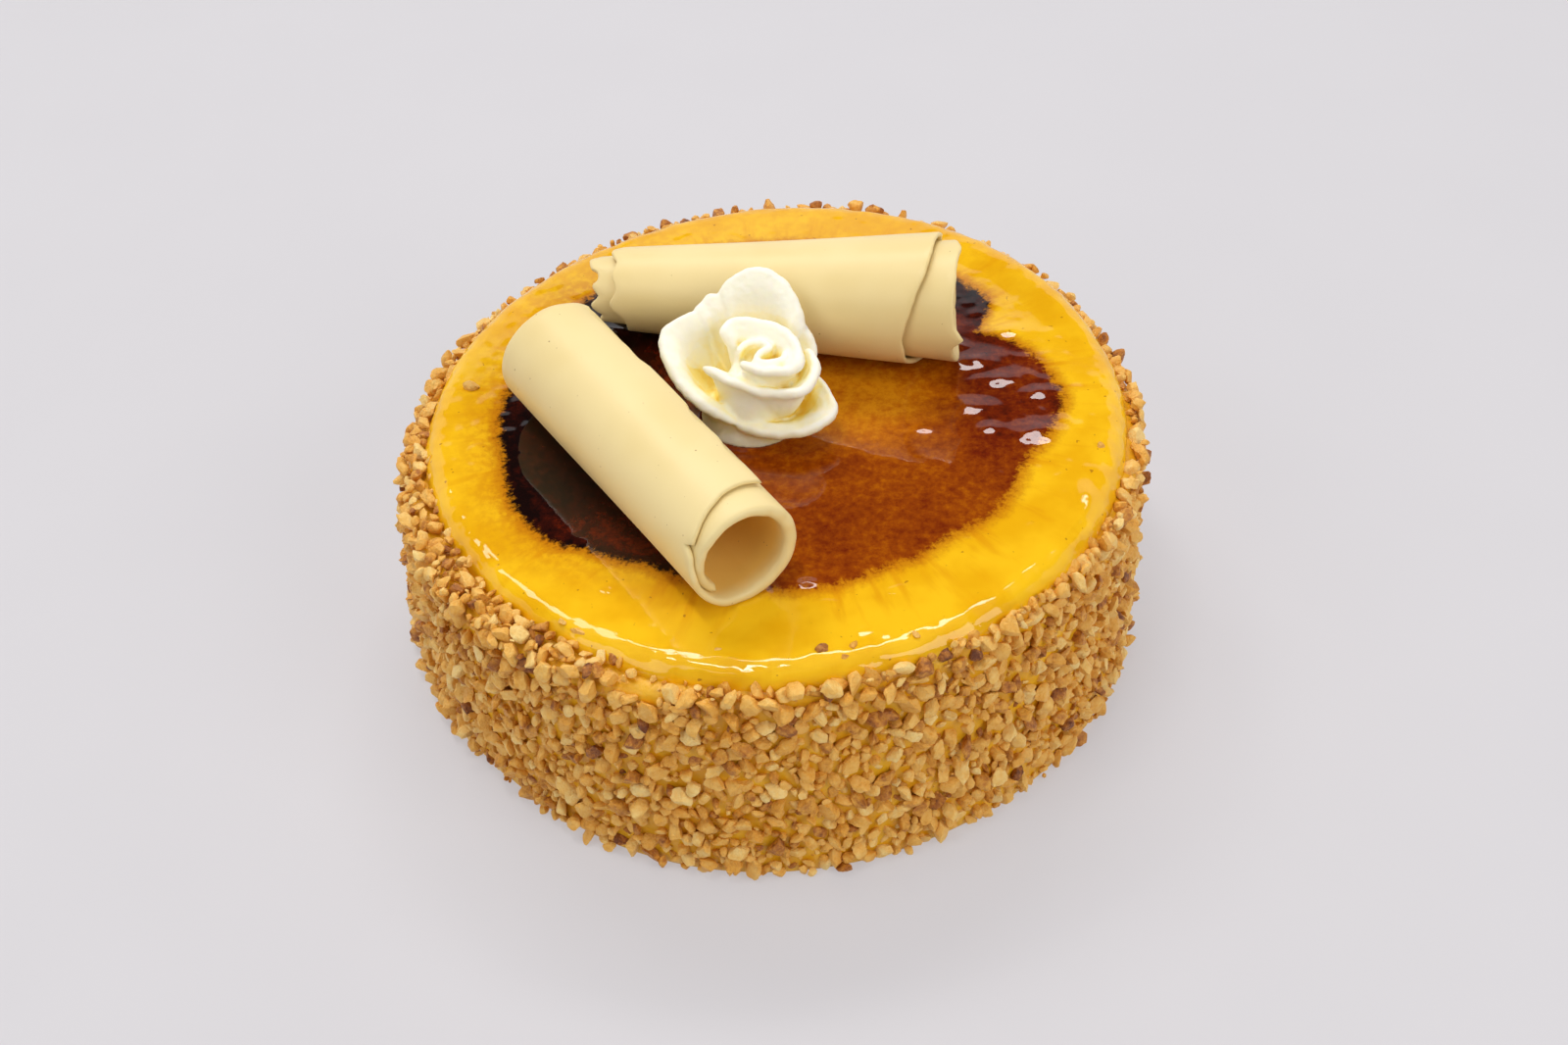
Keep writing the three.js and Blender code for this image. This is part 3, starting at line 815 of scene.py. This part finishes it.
def almond_places(rng):
    """Places, sizes and outward directions of the pieces in the coat's side and on its rim."""
    places, sizes, outs = [], [], []

    def add(angle, height, out, size, outward):
        x, y = coat_point(angle, height, out)
        places.append((float(x), float(y), height))
        sizes.append(size)
        outs.append(outward)

    for _ in range(SIDE_TRIES):
        angle = rng.uniform(0, TURN)
        ragged = noise.noise(Vector((math.cos(angle) * 9, math.sin(angle) * 9, 0)))
        front = smooth(0.0, 0.6, -math.sin(angle))
        top = float(collar_height(angle)) + 1.0 + 1.4 * ragged + 0.9 * front - 3.4 * bare_at(angle)
        size = almond_size(rng, *SIDE_SIZES)
        height = rng.uniform(size * 0.7, top)
        out = rng.uniform(-0.95, 0.6) + 0.3 * (size - 1.3)
        add(angle, height, out, size, (math.cos(angle), math.sin(angle), 0.1))
    # on the rim round the yolk layer, thickest at the left
    for _ in range(RIM_TRIES):
        angle = rng.uniform(0, TURN)
        left = smooth(0.35, 0.85, math.cos(angle - math.radians(200)))
        back = smooth(0.1, 0.9, math.sin(angle))
        inward = rng.uniform(0, 1) ** 1.3 * (1.2 + 5.6 * left + 1.6 * back)
        height = float(collar_height(angle)) + rng.uniform(-0.5, 0.5) + 2.0 * left + 0.2 * back
        size = almond_size(rng, *RIM_SIZES)
        if rng.uniform() < bare_at(angle):
            continue
        add(angle, height, -1.0 - inward, size, (math.cos(angle) * 0.3, math.sin(angle) * 0.3, 1))
    return np.array(places), np.array(sizes), np.array(outs, float)


def almond_meshes(rng):
    """The chopped almonds as joined meshes, one for each kind of piece."""
    places, sizes, outs = almond_places(rng)
    kept = scatter(places, sizes)
    places, sizes, outs = places[kept], sizes[kept], outs[kept]

    tones = np.clip(rng.normal(0.43, 0.19, len(places)), 0.02, 0.82)
    dark = rng.random(len(places)) < 0.03
    tones[dark] = rng.uniform(0.72, 0.95, dark.sum())

    large, small = sizes > LARGE_ALMOND, sizes < CRUMB
    middle = ~large & ~small
    shapes_of = {"almonds": chunk_shapes(3, 26, rng), "almond_bits": chunk_shapes(2, 30, rng)}
    shapes_of["almond_crumbs"] = chunk_shapes(1, 20, rng)
    # pieces that lie on the glaze, and one with its brown skin on at the front
    x, y, stray_sizes, stray_tones, sunk = np.array(STRAYS).T
    sizes, tones = np.append(sizes, stray_sizes), np.append(tones, stray_tones)
    places = np.vstack([places, np.column_stack([x, y, CAKE_HEIGHT + 0.1 - sunk])])
    outs = np.vstack([outs, np.tile((0.0, 0.0, 1.0), (len(x), 1))])
    stray = np.arange(len(sizes)) >= len(sizes) - len(x)
    large, middle, small = [np.append(chosen, np.zeros(len(x), bool)) for chosen in (large, middle, small)]
    kinds = {
        "almonds_pale": large & (tones < PALE_ALMOND),
        "almonds_golden": large & (tones >= PALE_ALMOND),
        "almond_bits_pale": middle & (tones < PALE_BIT),
        "almond_bits_golden": middle & (tones >= PALE_BIT) & (tones < BROWN_BIT),
        "almond_bits_brown": middle & (tones >= BROWN_BIT),
        "almond_crumbs": small,
        "almonds_on_glaze": stray,
    }
    meshes = {}
    for name, chosen in kinds.items():
        kind = next(k for k in ("almond_crumbs", "almond_bits", "almonds") if name.startswith(k))
        shapes, faces = shapes_of[kind]
        points, all_faces, tone = [], [], []
        for i in np.flatnonzero(chosen):
            shape = shapes[rng.integers(len(shapes))] * sizes[i] * (1.14, 1.0, 1.0)
            points.append(shape @ turned(rng, outs[i]).T + places[i])
            all_faces.append(faces + len(shape) * len(all_faces))
            tone.append(np.full(len(shape), tones[i]))
        points = np.concatenate(points)
        points[:, 2] = np.maximum(points[:, 2], 0.02)
        meshes[name] = mesh_of(name, points, np.concatenate(all_faces).tolist(), tone=np.concatenate(tone))
    return meshes


# ---- The rose -----------------------------------------------------------------------------------------


def heart_at(height):
    return ROSE_CENTRE + ROSE_LEAN * (height / LEAN_HEIGHT) + Vector((0, 0, height))


def rim_point(degrees, radius, height):
    angle = math.radians(degrees)
    return ROSE_CENTRE + Vector((radius * math.cos(angle), radius * math.sin(angle), height))


def curve_through(points, u):
    """A centripetal Catmull-Rom curve through the points, at u from 0 to 1."""
    last = len(points) - 1
    p = last * u
    k = min(int(p), last - 1)
    t = p - k
    p1, p2 = points[k], points[k + 1]
    p0 = points[k - 1] if k > 0 else p1 * 2 - p2
    p3 = points[k + 2] if k + 2 <= last else p2 * 2 - p1
    gaps = [max((b - a).length ** 0.5, 1e-4) for a, b in ((p0, p1), (p1, p2), (p2, p3))]
    d0, d1, d2 = gaps
    t1 = ((p1 - p0) / d0 - (p2 - p0) / (d0 + d1) + (p2 - p1) / d1) * d1
    t2 = ((p2 - p1) / d1 - (p3 - p1) / (d1 + d2) + (p3 - p2) / d2) * d1
    a = 2 * p1 - 2 * p2 + t1 + t2
    b = -3 * p1 + 3 * p2 - 2 * t1 - t2
    return a * t**3 + b * t**2 + t1 * t + p1


def petal_mesh(seed, foot, foot_height, bulge, rim):
    points = [rim_point(*r) for r in rim]
    root = heart_at(foot_height)
    steps, across, arc_steps = 72, 12, 6
    rings = []
    for i in range(steps + 1):
        u = i / steps
        lip = curve_through(points, u)
        lip += Vector((0, 0, 1)) * 0.55 * noise.noise(lip / 4.2 + Vector((seed, 0, 0)))
        base = Vector((root.x + (lip.x - root.x) * foot, root.y + (lip.y - root.y) * foot, root.z))
        rise = lip - base
        run = math.hypot(rise.x, rise.y)
        inner = (Vector((-rise.x / run, -rise.y / run, 0)) * rise.z + Vector((0, 0, run))).normalized()
        end = min(u, 1 - u) * steps / 5
        taper = rounded(end, 0.05)
        lip_half = PETAL_LIP / 2 * (1.08 + 0.22 * noise.noise(lip / 2.6 + Vector((0, seed, 5))))
        out_dir = rise.normalized()
        ring = []
        for k in range(across + 1):
            v = k / across
            half = (PETAL_ROOT / 2 + (lip_half - PETAL_ROOT / 2) * v) * taper
            middle = PETAL_ROOT / 2 + (PETAL_LIP / 2 - PETAL_ROOT / 2) * v
            middle -= bulge * math.sin(math.pi * v) * (1 - v)
            middle += LIP_FLARE * math.sin(math.pi * v**3)
            ring.append((v, middle - half, half))
        loop = [base + rise * v * 0.97 + inner * low for v, low, half in ring]
        v, low, half = ring[-1]
        centre = base + rise * v * 0.97 + inner * (low + half)
        for k in range(1, arc_steps):
            a = -math.pi / 2 + math.pi * k / arc_steps
            loop.append(centre + out_dir * half * math.cos(a) + inner * half * math.sin(a))
        loop += [base + rise * v * 0.97 + inner * (low + 2 * half) for v, low, half in reversed(ring)]
        rings.append([p[:] for p in loop])
    return capped_rings(rings)


def bud_mesh():
    """The petal at the heart, folded into an S."""
    path = [Vector((x, y, 0)) for x, y in FOLD_PATH]
    steps, rows = 60, 8
    rings = []
    for i in range(steps + 1):
        u = i / steps
        place = curve_through(path, u)
        ahead = curve_through(path, min(1, u + 0.01)) - curve_through(path, max(0, u - 0.01))
        across = Vector((-ahead.y, ahead.x, 0)).normalized()
        end = min(u, 1 - u) * steps / 4
        taper = rounded(end, 0.05)
        half = 0.85 * taper * (1 + 0.3 * noise.noise(Vector((u * 7, 0, 7.7))))
        top = FOLD_TOP + 0.9 * noise.noise(Vector((u * 4.5, 8.8, 2.0)))
        wall = [heart_at(FOLD_FOOT + (top - FOLD_FOOT) * k / rows) + place for k in range(rows + 1)]
        loop = [point + across * half for point in wall]
        for k in range(1, 5):
            a = math.pi * k / 5
            edge = heart_at(top) + place + across * (half * math.cos(a))
            loop.append(edge + Vector((0, 0, half * math.sin(a))))
        loop += [point - across * half for point in reversed(wall)]
        rings.append([p[:] for p in loop])
    return capped_rings(rings)


def work_object(name, points, faces):
    """A closed body to work on, with its faces pointing out."""
    mesh = mesh_of(name, points, faces)
    bm = bmesh.new()
    bm.from_mesh(mesh)
    bmesh.ops.recalc_face_normals(bm, faces=bm.faces)
    bm.to_mesh(mesh)
    bm.free()
    piece = bpy.data.objects.new(name, mesh)
    bpy.context.scene.collection.objects.link(piece)
    return piece


def rose_mesh(rolls):
    parts = [petal_mesh(k * 7.1, *PETALS[name]) for k, name in enumerate(PETALS)]
    parts.append(bud_mesh())
    heart = []
    for radius, height in ROSE_HEART:
        angle = np.arange(40) / 40 * TURN
        c = heart_at(height)
        x, y = c.x + radius * np.cos(angle), c.y + radius * np.sin(angle)
        heart.append(np.column_stack([x, y, np.full(40, c.z)]))
    parts.append(capped_rings(heart))
    points, faces = [], []
    count = 0
    for p, f in parts:
        points.append(np.asarray(p))
        faces += [tuple(k + count for k in face) for face in f]
        count += len(p)
    work = work_object("rose_work", np.concatenate(points), faces)
    remesh = work.modifiers.new("Join", "REMESH")
    remesh.mode = "VOXEL"
    remesh.voxel_size = 0.45 * MM
    soften = work.modifiers.new("Soften", "SMOOTH")
    soften.factor, soften.iterations = 0.5, 4
    # the piping leans on the rolls without going into them
    cutters = []
    for roll in rolls:
        angle = np.arange(96) / 96 * TURN
        circle = np.outer(np.cos(angle), roll.right) + np.outer(np.sin(angle), roll.up)
        ends = zip((0, roll.length), roll.radii)
        rings = [roll.base + roll.axis * reach + circle * (radius + GAP) for reach, radius in ends]
        cutter = work_object("roll_cutter", *capped_rings(rings))
        cut = work.modifiers.new("Cut", "BOOLEAN")
        cut.operation, cut.solver, cut.object = "DIFFERENCE", "MANIFOLD", cutter
        cutters.append(cutter)
    evaluated = work.evaluated_get(bpy.context.evaluated_depsgraph_get())
    result = bpy.data.meshes.new_from_object(evaluated)
    for helper in (work, *cutters):
        bpy.data.objects.remove(helper)
    result.name = "cream_rose_piped"
    place = np.empty(len(result.vertices) * 3, np.float32)
    result.vertices.foreach_get("co", place)
    place = place.reshape(-1, 3) / MM
    place[:, 2] = np.maximum(place[:, 2], CAKE_HEIGHT + 0.1)
    rough = wobble(place, 1.7, 21) + 0.7 * wobble(place, 0.8, 22)
    normals = np.empty(len(result.vertices) * 3, np.float32)
    result.vertices.foreach_get("normal", normals)
    place += normals.reshape(-1, 3) * (0.10 * rough)[:, None]
    result.vertices.foreach_set("co", (place * MM).astype(np.float32).ravel())
    result.update()
    layer = result.attributes.new("painted_hollow_shade", "FLOAT", "POINT")
    layer.data.foreach_set("value", hollow_of(result))
    return result


def hollow_of(mesh):
    """How much of the sky over each point the mesh itself hides, from 0 to 1, and more on its low sides; it
    sets how much painted shade yellows the cream.
    """
    lift, sight = 0.0004, 0.014
    tree = bvhtree.BVHTree.FromPolygons([v.co for v in mesh.vertices], [p.vertices for p in mesh.polygons])
    rays = []
    count = 18
    for i in range(count):
        z = (i + 0.5) / count
        r = math.sqrt(1 - z * z)
        rays.append(Vector((r * math.cos(i * GOLDEN), r * math.sin(i * GOLDEN), z)))
    values = []
    for vertex in mesh.vertices:
        normal = vertex.normal
        start = vertex.co + normal * lift
        hits = total = 0.0
        for ray in rays:
            weight = ray.dot(normal)
            if weight <= 0.05:
                continue
            total += weight
            if tree.ray_cast(start, ray, sight)[0] is not None:
                hits += weight
        # painted shade: downward faces and low sides near the glaze count as more hollow, so the cream is
        # yellowed there
        down = max(0.0, -normal.z)
        low = 0.4 * (1 - max(0.0, normal.z)) * float(smooth(15, 5, vertex.co.z / MM - CAKE_HEIGHT))
        values.append(min(1.0, (hits / total if total else 1.0) + 0.2 * down + low))
    return np.array(values, np.float32)


# ---- Making the pieces --------------------------------------------------------------------------------

rng = np.random.default_rng(11)
# noise_vector takes its offsets from this seed, and without it from the clock
noise.seed_set(11)
left_roll, right_roll = Roll(**LEFT_ROLL), Roll(**RIGHT_ROLL)
rolls = (left_roll, right_roll)

yolk = new_object("yolk_glaze", yolk_mesh(rolls), yolk_material())
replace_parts(yolk, "yolk_layer")

coat = new_object("cream_coat", coat_mesh(), coat_material())
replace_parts(coat, "almond_cake")
almond = almond_material()
for name, mesh in almond_meshes(rng).items():
    under = "yolk_layer" if name == "almonds_on_glaze" else "almond_cake"
    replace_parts(new_object(name, mesh, almond, ALMOND_CREASE), under)


def left_relief(turn, reach):
    near_edge = math.exp(-(((turn + 0.06) / 0.10) ** 2)) if turn < 0.5 else 0
    dent = -1.5 * near_edge * np.exp(-(((reach - 14) / 14) ** 2))
    return dent + 0.12 * np.sin(reach / 17 + turn * 2)


def right_relief(turn, reach):
    return 0.15 * np.sin(reach / 14 + turn * 4)


chocolate = chocolate_material()
left = roll_mesh(
    "roll_left_sheet",
    left_roll,
    lambda t: jag(t, 0.05, 0.35, 1),
    lambda t: jag(t, 0.035, 0.3, 2) + 2.2 * math.exp(-(((t - 0.3) / 0.008) ** 2)),
    left_relief,
)
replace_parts(new_object("roll_left_sheet", left, chocolate), "white_chocolate_roll_left")
right = roll_mesh(
    "roll_right_sheet",
    right_roll,
    lambda t: jag(t, 0.085, 2.4, 3, 0.7) + jag(t, 0.02, 0.3, 5),
    lambda t: jag(t, 0.07, 0.35, 4) + jag(t, 0.02, 0.15, 6),
    right_relief,
)
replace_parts(new_object("roll_right_sheet", right, chocolate), "white_chocolate_roll_right")

rose = new_object("cream_rose_piped", rose_mesh(rolls), cream_material())
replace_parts(rose, "cream_rose")

# ---- Studio -------------------------------------------------------------------------------------------

# Softboxes: name, place in metres, height that it faces, size, radiance, colour.
SOFTBOXES = (
    ("overhead", (-0.2, -0.12, 1.35), 0.05, (0.52, 0.1), 21.0, (1.0, 0.985, 0.96)),
    ("back_right", (0.115, 0.69, 1.21), 0.06, (0.6, 0.2), 12.0, (1.0, 0.985, 0.97)),
    ("back_left", (-0.44, 0.655, 1.15), 0.06, (0.45, 0.36), 7.5, (1.0, 0.985, 0.96)),
    ("front_left", (-0.95, -0.75, 0.95), 0.04, (0.9, 0.9), 2.0, (1.0, 0.985, 0.95)),
    ("front_right", (0.95, -0.85, 0.85), 0.04, (0.9, 0.9), 3.5, (1.0, 0.985, 0.95)),
)
# The camera's place in millimetres, its direction, its tilt in radians and its lens in millimetres.
CAMERA_PLACE = Vector((2.777, -374.690, 373.733))
CAMERA_FORWARD = Vector((0, 0.7322166, -0.6810718))
CAMERA_TILT = -0.0646
CAMERA_LENS = 47.25


def studio_floor():
    n = Nodes("pale_floor")
    speck = n.noise(60.0, 2.0)
    n.set(
        Base_Color=n.mix(n.fit(speck, 0.3, 0.7), (0.30, 0.292, 0.303), (0.306, 0.298, 0.309)),
        Roughness=0.85,
        Specular_IOR_Level=0.1,
        Emission_Color=(0.98, 0.962, 1.0, 1),
        Emission_Strength=0.385,
    )
    bm = bmesh.new()
    bmesh.ops.create_grid(bm, x_segments=1, y_segments=1, size=9)
    mesh = bpy.data.meshes.new("floor")
    bm.to_mesh(mesh)
    bm.free()
    mesh.materials.append(n.owner)
    floor = bpy.data.objects.new("floor", mesh)
    floor.location.z = -0.0001
    bpy.context.scene.collection.objects.link(floor)


def softbox(name, place, aim_height, size, radiance, colour):
    """A square light in metres that faces the cake, as bright as radiance on its face."""
    light = bpy.data.lights.new(name, "AREA")
    light.shape = "RECTANGLE"
    light.size, light.size_y = size
    light.energy = radiance * math.pi * size[0] * size[1]
    light.color = colour
    lamp = bpy.data.objects.new(name, light)
    lamp.location = place
    lamp.rotation_mode = "QUATERNION"
    lamp.rotation_quaternion = (Vector(place) - Vector((0, 0, aim_height))).to_track_quat("Z", "Y")
    bpy.context.scene.collection.objects.link(lamp)


def world():
    """A dim room with a pale backdrop low behind and a paler ceiling."""
    n = Nodes("studio", bpy.data.worlds)
    bpy.context.scene.world = n.owner
    split = n.tree.nodes.new("ShaderNodeSeparateXYZ")
    n.put(split.inputs[0], n.direction)
    _, y, z = split.outputs
    backdrop = n.math("MULTIPLY", n.fit(z, 0.585, 0.63, 0.8, 0.0), n.fit(y, -0.3, 0.1))
    ceiling = n.math("MULTIPLY_ADD", n.fit(z, 0.78, 0.9, 0.0, 0.35), n.fit(y, -0.3, 0.1, 0.4, 1.0), 0.05)
    front = n.fit(y, -0.25, 0.05, 0.13, 0.0)
    background = n.tree.nodes["Background"]
    n.put(background.inputs["Color"], (0.98, 0.965, 1.0, 1))
    n.put(background.inputs["Strength"], n.math("ADD", n.math("ADD", backdrop, ceiling), front))


def camera():
    data = bpy.data.cameras.new("camera")
    data.sensor_width = 36
    data.lens = CAMERA_LENS
    data.clip_start = 0.01
    data.clip_end = 50
    piece = bpy.data.objects.new("camera", data)
    bpy.context.scene.collection.objects.link(piece)
    bpy.context.scene.camera = piece
    level_right = Vector((1, 0, 0))
    level_up = level_right.cross(CAMERA_FORWARD)
    right = level_right * math.cos(CAMERA_TILT) + level_up * math.sin(CAMERA_TILT)
    turn = Matrix((right, right.cross(CAMERA_FORWARD), -CAMERA_FORWARD)).transposed().to_4x4()
    turn.translation = CAMERA_PLACE * MM
    piece.matrix_world = turn


studio_floor()
world()
for name, place, aim_height, size, radiance, colour in SOFTBOXES:
    softbox(name, place, aim_height, size, radiance, colour)
camera()

scene = bpy.context.scene
scene.view_settings.view_transform = "Standard"
scene.view_settings.look = "None"
